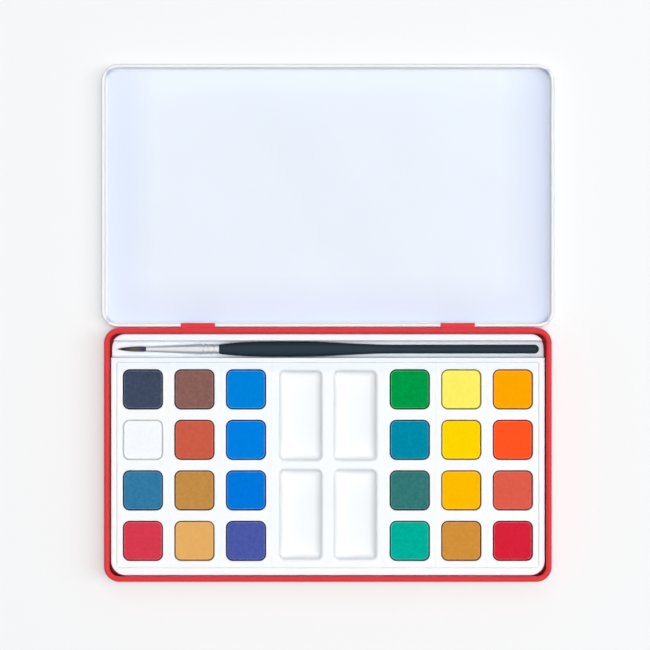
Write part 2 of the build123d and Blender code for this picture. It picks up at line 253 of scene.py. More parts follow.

# Red tin: share of its colour in the painted shade at the wall's foot, and the heights between which the
# painted shade deepens
FOOT_PAINTED_SHADE = 0.6
FOOT_DARK, FOOT_LIGHT = 2.5, 8.0

# Lid: tone of its white, painted shade towards its edges, painted light over the hem and the shaded wall
# below it, and painted shade on the skirt outside
LID_TONE = (1.0, 0.985, 0.965)
EDGE_SHADE_COLOUR = (0.85, 0.87, 0.94)
EDGE_SHADE_WIDTH = 26.0
EDGE_SHADE_START = 4.0
HEM_LIGHT_VEILS = (0.6, 0.65)
HEM_LIGHT_BAND = 2.2
HEM_LIGHT_BLUR = 0.2
SKIRT_PAINTED_SHADE = 0.78
SKIRT_SHADE_DEPTH = 0.22

# Plastic: heights between which painted shade deepens the wells, and where the painted bluish shade over the
# groove sets in
WELL_SHADE_FULL, WELL_SHADE_START = 7.5, 11.0
GROOVE_SHADE_FRONT, GROOVE_SHADE_BACK = 40.0, 42.0
GROOVE_SHADE_COLOUR = (0.9, 0.94, 0.99)

# Paint: least amount of a channel that counts, lift and depth of the colours, and strength of the mottle
PAINT_TRACE = 0.011
PAINT_LIFT = 1.01
PAINT_DEPTH = 1.06
MOTTLE = 0.22
MOTTLE_LEAST = 0.03

# Cake's edge: depths below its top where the painted highlight on its rim and the painted shade in the gap
# set in, and their tones
HIGHLIGHT_FROM, HIGHLIGHT_TO = 0.002, 0.03
HIGHLIGHT_VEILS = (0.07, 0.16)
GAP_SHADE_FROM, GAP_SHADE_TO = 0.11, 0.2
GAP_PAINTED_SHADE = 0.25
GAP_PAINTED_SHADE_OF_WHITE = 0.4

# Hair: length of the dark tip, pale middle and dyed end at the ferrule
HAIR_DARK_TIP = 3.0
HAIR_VEIL = 0.04
HAIR_PALE = (0.24, 0.252, 0.192)
HAIR_BASE = (0.09, 0.07, 0.11)
HAIR_BASE_LENGTH = 4.5
HAIR_BASE_FULL = 1.5

# Stage: the floor's reach, its colour as seen and as it throws light back, its glow, and the even light
FLOOR_REACH = 6000.0
FLOOR_WHITE = (0.935, 0.93, 0.925)
FLOOR_GREY = (0.5, 0.5, 0.5)
FLOOR_GLOW = 0.02
STUDIO_WHITE = (1.0, 1.0, 1.0)
FILL_COLOUR = (0.8, 0.92, 1.0)
FILL_LIGHT = 0.15

# Lamps that face straight down: place, length, width and power in watts
LAMPS = {
    "right": ((4000.0, 50.0, 4700.0), 6500.0, 2400.0, 134.0),
    "back": ((0.0, 3300.0, 4700.0), 3000.0, 4000.0, 30.0),
    "overhead": ((0.0, 64.0, 4700.0), 1500.0, 1500.0, 128.0),
}


# Shapes

# Sides of the four corners, anticlockwise from the right at the back
QUARTERS = ((1, 1), (-1, 1), (-1, -1), (1, -1))


def box_mm(node):
    """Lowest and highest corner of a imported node, in millimetres."""
    low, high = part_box(node)
    return low / MM, high / MM


def arc(centre, radius, start, turn, steps):
    """Points along an arc, from its start angle in degrees."""
    angles = [math.radians(start + turn * i / steps) for i in range(steps + 1)]
    return [(centre[0] + radius * math.cos(a), centre[1] + radius * math.sin(a)) for a in angles]


def outline(length, width, corner, z, middle, stops=(), side=0):
    """Points round a rectangle with round corners, anticlockwise from its right side.

    The stops are further points along its back (side 0) or its front (side 2), in the order met.
    """
    points = []
    corner = max(corner, LEAST_CORNER)
    for quarter, (side_x, side_y) in enumerate(QUARTERS):
        centre = (side_x * (length / 2 - corner), side_y * (width / 2 - corner))
        points += arc(centre, corner, 90 * quarter, 90, CORNER_STEPS)
        if quarter == side:
            points += [(x, side_y * width / 2) for x in stops]
    return [(middle[0] + x, middle[1] + y, z) for x, y in points]


def levels(length, width, corner, section, middle, stops=(), side=0):
    """Outlines of a block, one for each growth and height of its section."""
    return [
        outline(length + 2 * grow, width + 2 * grow, corner + grow, z, middle, stops, side)
        for grow, z in section]


def narrowed(section, top, taper):
    """Section that grows narrower with its depth below the top, by a taper in degrees."""
    slope = math.tan(math.radians(taper))
    return [(grow - slope * (top - z), z) for grow, z in section]


class Mould:
    """Points and faces of one piece, in millimetres."""

    def __init__(self):
        self.points = []
        self.faces = []

    def ring(self, points):
        """Adds points and returns their numbers."""
        start = len(self.points)
        self.points += points
        return list(range(start, len(self.points)))

    def bridge(self, first, second):
        """Band of faces between two rings of as many points."""
        for i in range(len(first)):
            self.faces.append((first[i - 1], first[i], second[i], second[i - 1]))

    def skin(self, rings):
        """Bands through several rings; returns the numbers of the first and the last ring's points."""
        numbered = [self.ring(points) for points in rings]
        for first, second in zip(numbered, numbered[1:]):
            self.bridge(first, second)
        return numbered[0], numbered[-1]

    def plate(self, edge, *holes):
        """Flat face inside a ring, with holes."""
        loops = (edge, *holes)
        numbers = [i for loop in loops for i in loop]
        for triangle in tessellate_polygon([[Vector(self.points[i]) for i in loop] for loop in loops]):
            self.faces.append(tuple(numbers[i] for i in triangle))

    def mesh(self, name):
        """Closed mesh in metres, with its faces turned outwards."""
        mesh = bpy.data.meshes.new(name)
        mesh.from_pydata([tuple(c * MM for c in point) for point in self.points], [], self.faces)
        form = bmesh.new()
        form.from_mesh(mesh)
        bmesh.ops.recalc_face_normals(form, faces=form.faces)
        form.to_mesh(mesh)
        form.free()
        return mesh

    def piece(self, name, body, material, *nodes, sharp=SHARP_ANGLE, soften=True):
        """Makes the mesh object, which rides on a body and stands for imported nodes."""
        mesh = self.mesh(name)
        mesh.materials.append(material)
        shape = bpy.data.objects.new(name, mesh)
        bpy.context.scene.collection.objects.link(shape)
        if soften:
            soften_shading(shape, sharp)
        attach(shape, body)
        if nodes:
            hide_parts(*nodes)
        return shape


def soften_shading(shape, sharp=SHARP_ANGLE):
    """Smooth shading that keeps edges sharper than an angle, with flat faces kept flat."""
    shape.data.shade_smooth()
    shape.data.set_sharp_from_angle(angle=math.radians(sharp))
    weighted = shape.modifiers.new("even_shading", "WEIGHTED_NORMAL")
    weighted.keep_sharp = True


def brush_axis():
    """Place of the brush's axis across and above the tray."""
    low, high = box_mm("brush_handle")
    return (low.y + high.y) / 2, (low.z + high.z) / 2


def rolled_tin(mould, size, corner, height, roll, middle, stops, side, hole):
    """Pan of sheet metal with a rolled top edge, and a hole through its wall between each pair of stops.

    Size is the length and width outside, roll the radius and turn of the edge, hole the heights of each hole.
    """
    roll_radius, roll_turn = roll

    def surface(depth):
        """Rings of the metal's surface at a depth in it."""
        section = arc((-DRAW_RADIUS, DRAW_RADIUS), DRAW_RADIUS - depth, -90, 90, DRAW_STEPS)
        section += [(-depth, z) for z in hole]
        section += arc((-roll_radius, height), roll_radius - depth, 0, roll_turn, ROLL_STEPS)
        rings = levels(*size, corner, section, middle, stops, side)
        return [mould.ring(points) for points in rings]

    outer = surface(0.0)
    inner = surface(METAL)
    first_stop = (side + 1) * (CORNER_STEPS + 1)
    hole_starts = [first_stop + i for i in range(0, len(stops), 2)]
    hole_level = DRAW_STEPS + 1
    for rings in (outer, inner):
        for level in range(len(rings) - 1):
            lower, upper = rings[level], rings[level + 1]
            for i in range(len(lower)):
                if level == hole_level and i - 1 in hole_starts:
                    continue
                mould.faces.append((lower[i - 1], lower[i], upper[i], upper[i - 1]))
    mould.bridge(outer[-1], inner[-1])
    mould.plate(outer[0])
    mould.plate(inner[0])
    low_out, high_out = outer[hole_level], outer[hole_level + 1]
    low_in, high_in = inner[hole_level], inner[hole_level + 1]
    for i in hole_starts:
        mould.faces.append((low_out[i], low_out[i + 1], low_in[i + 1], low_in[i]))
        mould.faces.append((high_out[i], high_out[i + 1], high_in[i + 1], high_in[i]))
        for end in (i, i + 1):
            mould.faces.append((low_out[end], high_out[end], high_in[end], low_in[end]))


def add_tongue(mould, x, hinge_y):
    """Hinge tongue: bent out of the back wall, over the lid's hem and down behind it."""
    inner = HEM_RADIUS + TONGUE_CLEARANCE
    outer = inner + METAL
    wall_face = -HEM_RADIUS - WALL_GAP
    bend = (wall_face + TONGUE_BEND, outer + TONGUE_BEND)
    section = arc((0, 0), outer, 90, -TONGUE_TURN, TONGUE_STEPS)
    section += reversed(arc((0, 0), inner, 90, -TONGUE_TURN, TONGUE_STEPS))
    section += reversed(arc(bend, TONGUE_BEND + METAL, 180, 90, EDGE_STEPS))
    section += [(wall_face - METAL, outer + TONGUE_ROOT), (wall_face, outer + TONGUE_ROOT)]
    section += arc(bend, TONGUE_BEND, 180, 90, EDGE_STEPS)
    ends = []
    for side in (-1, 1):
        ends.append([(x + side * TONGUE_WIDTH / 2, hinge_y + y, HINGE_Z + z) for y, z in section])
    left, right = mould.skin(ends)
    mould.faces += [tuple(left), tuple(right)]


def make_tins(looks):
    """Lower tin with its two hinge tongues, and the lid on its back."""
    low, high = box_mm("tin_base")
    back = -low.y
    hinge_y = back + WALL_GAP + HEM_RADIUS
    reach = TONGUE_WIDTH / 2 + SLIT_SIDE_GAP
    stops = [side * TONGUE_OFFSET + end for side in (1, -1) for end in (reach, -reach)]
    base = Mould()
    slit_top = HINGE_Z + HEM_RADIUS + TONGUE_CLEARANCE + METAL + TONGUE_ROOT
    rolled_tin(base, (high.x - low.x, 2 * back), BASE_CORNER, high.z - RIM_RADIUS, (RIM_RADIUS, RIM_TURN),
               (0, 0), stops, 0, (SLIT_BOTTOM, slit_top))
    for side in (-1, 1):
        add_tongue(base, side * TONGUE_OFFSET, hinge_y)
    base.piece("base_shell", "base", looks["red_tin"], "tin_base")

    low, high = box_mm("tin_lid")
    reach = TONGUE_WIDTH / 2 + WINDOW_SIDE_GAP
    stops = [side * TONGUE_OFFSET + end for side in (-1, 1) for end in (-reach, reach)]
    lid = Mould()
    rolled_tin(lid, (high.x - low.x, high.y - low.y), LID_CORNER, HINGE_Z, (HEM_RADIUS, HEM_TURN),
               (0, (low.y + high.y) / 2), stops, 2, (WINDOW_BOTTOM, WINDOW_TOP))
    lid.piece("lid_shell", "lid", looks["white_tin"], "tin_lid")


def pocket(mould, length, width, corner, top, floor, mouth, bottom, middle, taper=0.0):
    """Hollow with a rounded mouth and a rounded bottom; returns its mouth's ring."""
    section = [(mouth - x, top - mouth + z) for x, z in arc((0, 0), mouth, 90, -90, EDGE_STEPS)]
    section += [(-x, floor + bottom + z) for x, z in arc((bottom, 0), bottom, 180, 90, EDGE_STEPS)]
    edge, last = mould.skin(levels(length, width, corner, narrowed(section, top, taper), middle))
    mould.plate(last)
    return edge


def rounded_top(mould, length, width, corner, bottom, top, edge, middle):
    """Outside of a block with a rounded top edge; returns its lowest and its highest ring."""
    section = [(0, bottom), *arc((-edge, top - edge), edge, 0, 90, EDGE_STEPS)]
    return mould.skin(levels(length, width, corner, section, middle))


def hollow_below(mould, length, width, corner, bottom, top, middle):
    """Hollow that opens downwards; returns the ring of its mouth."""
    mouth, last = mould.skin(levels(length, width, corner, [(0, bottom), (0, top)], middle))
    mould.plate(last)
    return mouth


def cut_groove(tray, low, high, middle_y):
    """Cuts the brush groove, with its rounded mouth and bottom, along the whole tray."""
    half = GROOVE_WIDTH / 2
    mouth = arc((half + GROOVE_EDGE, high.z - GROOVE_EDGE), GROOVE_EDGE, 90, 90, EDGE_STEPS)
    bottom_centre = (half - GROOVE_BOTTOM, GROOVE_FLOOR + GROOVE_BOTTOM)
    bottom = arc(bottom_centre, GROOVE_BOTTOM, 0, -90, SOFT_EDGE_STEPS)
    side = [(half + GROOVE_EDGE, high.z + CUTTER_REACH), *mouth, *bottom]
    section = side + [(-y, z) for y, z in reversed(side)]
    cutter = Mould()
    first, last = cutter.skin([
        [(x, middle_y + y, z) for y, z in section] for x in (low.x - CUTTER_REACH, high.x + CUTTER_REACH)])
    cutter.faces += [tuple(first), tuple(last)]
    blade = bpy.data.objects.new("groove_cutter", cutter.mesh("groove_cutter"))
    bpy.context.scene.collection.objects.link(blade)
    cut = tray.modifiers.new("groove", "BOOLEAN")
    cut.operation = "DIFFERENCE"
    cut.solver = "EXACT"
    cut.object = blade
    bpy.context.view_layer.update()
    shaped = bpy.data.meshes.new_from_object(tray.evaluated_get(bpy.context.evaluated_depsgraph_get()))
    tray.modifiers.clear()
    tray.data = shaped
    bpy.data.objects.remove(blade)


def make_tray(looks):
    """Tray with the bay and the brush groove, which is open at both ends, and ribs underneath."""
    low, high = box_mm("tray")
    insert_low, insert_high = box_mm("palette")
    bay_width = insert_high.y - insert_low.y + 2 * INSERT_GAP
    bay_middle = (0, (insert_high.y + insert_low.y) / 2)
    groove_y = brush_axis()[0]
    tray = Mould()
    foot, deck = rounded_top(
        tray, high.x - low.x, high.y - low.y, TRAY_CORNER, low.z, high.z, TRAY_EDGE, (0, 0))
    bay = pocket(tray, BAY_LENGTH, bay_width, BAY_CORNER, high.z, BAY_FLOOR, BAY_EDGE, BAY_EDGE, bay_middle)
    tray.plate(deck, bay)
    cell_length = (BAY_RIB_LENGTH - (CELL_COLUMNS - 1) * RIB) / CELL_COLUMNS
    cell_width = (bay_width - (CELL_ROWS - 1) * RIB) / CELL_ROWS
    cells = [hollow_below(tray, BAY_RIB_LENGTH, GROOVE_WIDTH, RIB, low.z, GROOVE_FLOOR - WALL, (0, groove_y))]
    for column in range(CELL_COLUMNS):
        x = (column - (CELL_COLUMNS - 1) / 2) * (cell_length + RIB)
        for row in range(CELL_ROWS):
            y = bay_middle[1] + (row - (CELL_ROWS - 1) / 2) * (cell_width + RIB)
            cells.append(hollow_below(tray, cell_length, cell_width, RIB, low.z, BAY_FLOOR - WALL, (x, y)))
    tray.plate(foot, *cells)
    moulding = tray.piece("tray_moulding", "tray", looks["white_plastic"], "tray", soften=False)
    cut_groove(moulding, low, high, groove_y)
    soften_shading(moulding)


def add_insert(name, body, node, look, pockets, taper=0.0):
    """Insert with a top plate and pockets that hang from it.

    Each pocket is its length, width, corner, edge, bottom and middle. The plate grows until it nearly
    closes the seams to its neighbours.
    """
    low, high = box_mm(node)
    size = high - low
    middle = ((low.x + high.x) / 2, (low.y + high.y) / 2)
    insert = Mould()
    under, deck = rounded_top(
        insert, size.x + 2 * LIP_GROWTH, size.y + 2 * LIP_GROWTH, LIP_CORNER, high.z - LIP, high.z,
        LIP_EDGE, middle)
    mouths = []
    roots = []
    for length, width, corner, edge, bottom, place in pockets:
        place = (middle[0] + place[0], middle[1] + place[1])
        mouths.append(pocket(insert, length, width, corner, high.z, CUP_FLOOR, edge, bottom, place, taper))
        foot = arc((bottom, 0), bottom, 180, 90, EDGE_STEPS)
        section = [(MOULD_WALL, high.z - LIP)]
        section += [(MOULD_WALL - x, low.z + bottom + z) for x, z in foot]
        root, last = insert.skin(levels(length, width, corner, narrowed(section, high.z, taper), place))
        insert.plate(last)
        roots.append(root)
    insert.plate(deck, *mouths)
    insert.plate(under, *roots)
    insert.piece(name, body, look, node)


def make_inserts(looks):
    """Six strips of cups and the palette with its four wells."""
    low, high = box_mm("palette")
    size = high - low
    pitch = (size.y - CUP_SIZE - 2 * CUP_END_MARGIN) / (CUPS - 1)
    rows = [((CUPS - 1) / 2 - row) * pitch for row in range(CUPS)]
    cups = [(CUP_SIZE, CUP_SIZE, CUP_CORNER, CUP_EDGE, CUP_BOTTOM, (0, y)) for y in rows]
    for body, members in frame["record"]["behaviour"]["bodies"].items():
        for node in members:
            if node.startswith("pan_strip"):
                add_insert(node + "_moulding", body, node, looks["white_plastic"], cups)
    width = (size.x - WELL_GAP[0]) / 2 - WELL_SIDE_MARGIN
    length = (size.y - WELL_GAP[1]) / 2 - WELL_END_MARGIN
    across = (width + WELL_GAP[0]) / 2
    along = (length + WELL_GAP[1]) / 2
    places = [(side_x * across, side_y * along) for side_x in (-1, 1) for side_y in (-1, 1)]
    wells = [(width, length, WELL_CORNER, WELL_EDGE, WELL_BOTTOM, place) for place in places]
    add_insert("palette_moulding", "palette", "palette", looks["white_plastic"], wells, WELL_TAPER)


def make_cake(node, body, look):
    """Block of pressed paint with soft edges, a slightly uneven top and a film of paint round it."""
    low, high = box_mm(node)
    size = high.x - low.x
    middle = ((low.x + high.x) / 2, (low.y + high.y) / 2)
    crown = high.z - CAKE_RELIEF
    film = crown - FILM_DEPTH
    reach = (CUP_SIZE - size) / 2 - FILM_GAP
    section = [(-CAKE_FOOT, low.z), (0, low.z + CAKE_FOOT), (0, film - FILM_THICKNESS)]
    section += [(reach, film - FILM_THICKNESS), (reach, film), (0, film)]
    section += arc((-CAKE_EDGE, crown - CAKE_EDGE), CAKE_EDGE, 0, 90, SOFT_EDGE_STEPS)
    cake = Mould()
    foot, top = cake.skin(levels(size, size, CAKE_CORNER, section, middle))
    cake.plate(foot)
    inner = size - 2 * CAKE_EDGE
    for i in range(1, CAKE_RINGS + 1):
        share = 1 - i / (CAKE_RINGS + 1)
        ring = []
        for x, y, z in outline(inner * share, inner * share, CAKE_CORNER * share, crown, middle):
            unevenness = mathutils_noise.noise(Vector((x, y, high.x)) * CAKE_RELIEF_SCALE)
            ring.append((x, y, z + CAKE_RELIEF * max(0.0, unevenness)))
        numbers = cake.ring(ring)
        cake.bridge(top, numbers)
        top = numbers
    cake.plate(top)
    cake.piece(node + "_block", body, look, node)


def make_cakes(looks):
    """Every cake of the record, in its own paint."""
    for part in frame["record"]["subparts"]:
        node = part["node"]
        if node.startswith("cake_"):
            body = frame["nodes"][node]["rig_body"]
            make_cake(node, body, looks[part["material_slot"]])


def lathe(mould, stations, middle):
    """Rings round the brush's axis at each (place, radius); returns the first and the last ring."""
    rings = []
    for x, radius in stations:
        circle = arc(middle, radius, 0, 360, LATHE_STEPS)[:-1]
        rings.append([(x, y, z) for y, z in circle])
    return mould.skin(rings)


def make_handle(looks, start, middle):
    """Turned handle: tenon, belly, slim tail and round end."""
    low, high = box_mm("brush_handle")
    belly = start + BELLY_AT
    tail = start + TAIL_AT
    stations = [(low.x, TENON_RADIUS), (start, TENON_RADIUS), (start, NECK_RADIUS - NECK_CHAMFER)]
    for i in range(1, PROFILE_STEPS + 1):
        share = i / PROFILE_STEPS
        swollen = 1 - (1 - share) ** SWELL
        stations.append((start + share * BELLY_AT, NECK_RADIUS + swollen * (BELLY_RADIUS - NECK_RADIUS)))
    for i in range(1, PROFILE_STEPS + 1):
        share = i / PROFILE_STEPS
        ease = (1 + math.cos(math.pi * share)) / 2
        stations.append((belly + share * (tail - belly), TAIL_RADIUS + ease * (BELLY_RADIUS - TAIL_RADIUS)))
    stations += arc((high.x - TAIL_RADIUS, 0), TAIL_RADIUS, 90, -TAIL_TURN, TAIL_STEPS)
    handle = Mould()
    first, last = lathe(handle, stations, middle)
    handle.plate(first)
    handle.plate(last)
    handle.piece("handle_turned", "brush", looks["lacquered_wood"], "brush_handle")


def crimp_radius(x, taper_end):
    """Radius of the ferrule behind its taper, drawn in at each crimp."""
    place = (x - taper_end) / CRIMP_PITCH
    if not 0 <= place <= CRIMP_COUNT:
        return FERRULE_BACK
    dip = max(0.0, math.sin(2 * math.pi * place - math.pi / 2))
    return FERRULE_BACK - CRIMP_DEPTH * dip


def make_ferrule(looks, low, high, middle):
    """Tapered tube, crimped on the handle's neck."""
    taper_end = low.x + FERRULE_TAPER
    stations = [(high.x, FERRULE_BACK - FERRULE_WALL)]
    for i in range(CRIMP_STEPS + 1):
        x = high.x - i / CRIMP_STEPS * (high.x - taper_end)
        stations.append((x, crimp_radius(x, taper_end)))
    stations += [(low.x, FERRULE_MOUTH), (low.x, FERRULE_MOUTH - FERRULE_WALL)]
    stations += [(taper_end, TENON_RADIUS), (high.x, TENON_RADIUS)]
    ferrule = Mould()
    first, last = lathe(ferrule, stations, middle)
    ferrule.bridge(first, last)
    ferrule.piece("ferrule_crimped", "brush", looks["bright_metal"], "brush_ferrule")


def make_tuft(looks, mouth, middle):
    """Pointed tuft of single hairs."""
    point = box_mm("brush_hair")[0].x
    root = mouth + HAIR_ROOT_DEPTH
    chance = random.Random(HAIR_SEED)
    tuft = Mould()
    for i in range(HAIR_COUNT):
        spread = math.sqrt((i + 0.5) / HAIR_COUNT)
        angle = i * GOLDEN_ANGLE
        tip = point + HAIR_TIP_SPREAD * spread ** 2 + chance.uniform(0, HAIR_UNEVENNESS)
        rings = []
        for j in range(HAIR_STATIONS + 1):
            share = j / HAIR_STATIONS
            x = root + share * (tip - root)
            closed = max(0.0, 1 - (x - point) / HAIR_TAPER)
            envelope = HAIR_ENVELOPE * (1 - closed ** HAIR_POINT) ** HAIR_FULLNESS
            envelope = min(envelope, HAIR_ROOT_REACH + HAIR_FLARE * (root - x))
            reach = spread * envelope
            thickness = HAIR_RADIUS * (1 - HAIR_THINNING * share ** 3)
            centre = (middle[0] + reach * math.cos(angle), middle[1] + reach * math.sin(angle))
            rings.append([(x, y, z) for y, z in arc(centre, thickness, 0, 360, HAIR_SIDES)[:-1]])
        first, last = tuft.skin(rings)
        tuft.plate(first)
        tuft.plate(last)
    tuft.piece("tuft", "brush", looks["dark_hair"], "brush_hair", sharp=HAIR_SHARP_ANGLE)


def make_brush(looks):
    """Lacquered handle, crimped ferrule and pointed tuft."""
    low, high = box_mm("brush_ferrule")
    middle = brush_axis()
    make_handle(looks, high.x, middle)
    make_ferrule(looks, low, high, middle)
    make_tuft(looks, low.x, middle)


# Materials

# Numbers of the mix node's colour sockets
MIX_FIRST, MIX_SECOND, MIX_RESULT = 6, 7, 2


def new_material(name, values):
    """Node material with a shader of these values and an otherwise empty tree."""
    material = bpy.data.materials.new(name)
    material.use_nodes = True
    tree = material.node_tree
    tree.nodes.clear()
    shader = tree.nodes.new("ShaderNodeBsdfPrincipled")
    output = tree.nodes.new("ShaderNodeOutputMaterial")
    tree.links.new(shader.outputs["BSDF"], output.inputs["Surface"])
    for socket, value in values.items():
        shader.inputs[socket].default_value = value
    return material, tree, shader


def noise(tree, scale, detail, roughness=0.5, stretch=(1.0, 1.0, 1.0)):
    """Noise in the object's own space, with a scale in cycles per millimetre."""
    place = tree.nodes.new("ShaderNodeTexCoord")
    mapping = tree.nodes.new("ShaderNodeMapping")
    mapping.inputs["Scale"].default_value = stretch
    texture = tree.nodes.new("ShaderNodeTexNoise")
    texture.inputs["Scale"].default_value = scale / MM
    texture.inputs["Detail"].default_value = detail
    texture.inputs["Roughness"].default_value = roughness
    tree.links.new(place.outputs["Object"], mapping.inputs["Vector"])
    tree.links.new(mapping.outputs["Vector"], texture.inputs["Vector"])
    return texture.outputs["Fac"]


def shade(colour, factor):
    """Colour made lighter or darker by a factor, and kept within range."""
    return tuple(min(1.0, channel * factor) for channel in colour)


def veil(colour, share):
    """Colour under a thin pale veil."""
    return tuple(min(1.0, channel + share * (1 - channel)) for channel in colour)


def between(tree, factor, low, high):
    """Colour that runs from low to high with the factor."""
    ramp = tree.nodes.new("ShaderNodeValToRGB")
    ramp.color_ramp.elements[0].position = BLEND_START
    ramp.color_ramp.elements[1].position = BLEND_END
    ramp.color_ramp.elements[0].color = (*low, 1.0)
    ramp.color_ramp.elements[1].color = (*high, 1.0)
    tree.links.new(factor, ramp.inputs["Fac"])
    return ramp.outputs["Color"]


def toned(tree, factor, colour, tones):
    """Runs between two shades of a colour with the factor."""
    return between(tree, factor, *(shade(colour, tone) for tone in tones))


def veiled(tree, factor, colour, shares):
    """Runs between two veils over a colour with the factor."""
    return between(tree, factor, *(veil(colour, share) for share in shares))


def place_along(tree, axis, start, end):
    """Runs from 0 at the start to 1 at the end, both in millimetres along the object's own axis."""
    place = tree.nodes.new("ShaderNodeTexCoord")
    split = tree.nodes.new("ShaderNodeSeparateXYZ")
    reach = tree.nodes.new("ShaderNodeMapRange")
    reach.inputs["From Min"].default_value = start * MM
    reach.inputs["From Max"].default_value = end * MM
    tree.links.new(place.outputs["Object"], split.inputs["Vector"])
    tree.links.new(split.outputs[axis], reach.inputs["Value"])
    return reach.outputs["Result"]


def mix(tree, factor, first, second):
    """Mixes two colour outputs."""
    node = tree.nodes.new("ShaderNodeMix")
    node.data_type = "RGBA"
    tree.links.new(factor, node.inputs["Factor"])
    tree.links.new(first, node.inputs[MIX_FIRST])
    tree.links.new(second, node.inputs[MIX_SECOND])
    return node.outputs[MIX_RESULT]


def near_edges(tree, body, layer, edges, start, end):
    """Lays a colour over the body near edges, each an axis, a place on it and the way inwards."""
    for axis, place, inwards in edges:
        near = place_along(tree, axis, place + inwards * start, place + inwards * end)
        body = mix(tree, near, body, layer)
    return body


def bump(tree, shader, height, distance):
    """Relief on the shader's normal; the distance is in millimetres."""
    node = tree.nodes.new("ShaderNodeBump")
    node.inputs["Distance"].default_value = distance * MM
    node.inputs["Strength"].default_value = 1.0
    tree.links.new(height, node.inputs["Height"])
    tree.links.new(node.outputs["Normal"], shader.inputs["Normal"])


def red_enamel(name, colour):
    """Red enamel baked on tinplate, with painted shade at the foot of the wall."""
    material, tree, shader = new_material(name, ENAMEL)
    cloud = noise(tree, *ENAMEL_CLOUD)
    body = toned(tree, cloud, colour, ENAMEL_TONES)
    # Painted shade: the wall's colour darkens towards its foot
    foot = toned(tree, cloud, shade(colour, FOOT_PAINTED_SHADE), ENAMEL_TONES)
    body = mix(tree, place_along(tree, "Z", FOOT_LIGHT, FOOT_DARK), body, foot)
    tree.links.new(body, shader.inputs["Base Color"])
    bump(tree, shader, noise(tree, *ENAMEL_PEEL), ENAMEL_RELIEF)
    return material


def white_enamel(name, colour):
    """White enamel with painted shade towards the lid's edges, painted light over the hem and painted shade
    on the skirt outside.
    """
    material, tree, shader = new_material(name, ENAMEL)
    colour = tuple(channel * tone for channel, tone in zip(colour, LID_TONE))
    # Deeper, bluer copy of the white, for the painted shade towards the edges
    edge_shaded = tuple(channel * depth for channel, depth in zip(colour, EDGE_SHADE_COLOUR))
    cloud = noise(tree, *ENAMEL_CLOUD)
    body = toned(tree, cloud, colour, ENAMEL_TONES)
    # Painted shade towards the edges, painted light over the hem and the shaded wall below it, and painted
    # shade on the skirt outside
    edge_shade = toned(tree, cloud, edge_shaded, ENAMEL_TONES)
    hem = veiled(tree, cloud, colour, HEM_LIGHT_VEILS)
    skirt_painted_shade = toned(tree, cloud, shade(colour, SKIRT_PAINTED_SHADE), ENAMEL_TONES)
    low, high = box_mm("tin_lid")
    left, right = ("X", low.x, 1), ("X", high.x, -1)
    front, back = ("Y", low.y, 1), ("Y", high.y, -1)
    body = near_edges(tree, body, edge_shade, (left, right, front), EDGE_SHADE_WIDTH, EDGE_SHADE_START)
    body = near_edges(tree, body, hem, (left, right, front, back), HEM_LIGHT_BAND + HEM_LIGHT_BLUR, HEM_LIGHT_BAND)
    body = near_edges(tree, body, skirt_painted_shade, (left, right, back), SKIRT_SHADE_DEPTH, SKIRT_SHADE_DEPTH / 2)
    tree.links.new(body, shader.inputs["Base Color"])
    bump(tree, shader, noise(tree, *ENAMEL_PEEL), ENAMEL_RELIEF)
    return material


def moulded_plastic(name, colour):
    """White injection-moulded plastic with a satin skin, with painted shade in the wells and a painted bluish
    shade from the groove back.
    """
    material, tree, shader = new_material(name, PLASTIC)
    cloud = noise(tree, *PLASTIC_CLOUD)
    body = toned(tree, cloud, colour, DECK_TONES)
    # Painted shade in the wells, below a height
    well_shade = toned(tree, cloud, colour, WELL_SHADE_TONES)
    # Painted bluish shade over everything behind a line just in front of the groove
    groove = toned(tree, cloud, GROOVE_SHADE_COLOUR, GROOVE_SHADE_TONES)
    body = mix(tree, place_along(tree, "Z", WELL_SHADE_START, WELL_SHADE_FULL), body, well_shade)
    body = mix(tree, place_along(tree, "Y", GROOVE_SHADE_FRONT, GROOVE_SHADE_BACK), body, groove)
    tree.links.new(body, shader.inputs["Base Color"])
    bump(tree, shader, noise(tree, *PLASTIC_GRAIN), PLASTIC_RELIEF)
    return material


def pressed_paint(name, colour):
    """Cake of pressed pigment: matte, finely mottled, with a painted highlight at its edge and painted shade
    in the gap round it.
    """
    material, tree, shader = new_material(name, PAINT)
    colour = tuple(
        PAINT_LIFT * channel ** PAINT_DEPTH if channel > PAINT_TRACE else 0.0 for channel in colour)
    contrast = max(MOTTLE_LEAST, MOTTLE * (1 - max(colour)))
    # How dark the painted shade in the gap is: lighter on pale paints
    gap_shade = GAP_PAINTED_SHADE + GAP_PAINTED_SHADE_OF_WHITE * min(colour) ** 2
    mottle = noise(tree, *PAINT_MOTTLE)
    body = toned(tree, mottle, colour, (1 - contrast, 1 + contrast))
    # Painted highlight along the cake's rounded edge
    edge_highlight = veiled(tree, mottle, colour, HIGHLIGHT_VEILS)
    # Painted shade in the gap round the cake
    gap_painted_shade = toned(tree, mottle, shade(colour, gap_shade), GAP_SHADE_TONES)
    crown = box_mm("cake_white")[1].z - CAKE_RELIEF
    body = mix(tree, place_along(tree, "Z", crown - HIGHLIGHT_FROM, crown - HIGHLIGHT_TO), body, edge_highlight)
    body = mix(tree, place_along(tree, "Z", crown - GAP_SHADE_FROM, crown - GAP_SHADE_TO), body, gap_painted_shade)
    tree.links.new(body, shader.inputs["Base Color"])
    bump(tree, shader, noise(tree, *PAINT_GRAIN), PAINT_RELIEF)
    return material


def lacquer(name, colour):
    """Dark lacquer over turned wood."""
    material, tree, shader = new_material(name, LACQUER)
    grain = noise(tree, *WOOD_GRAIN)
    tree.links.new(toned(tree, grain, colour, LACQUER_TONES), shader.inputs["Base Color"])
    bump(tree, shader, noise(tree, *LACQUER_WAVES), LACQUER_RELIEF)
    return material


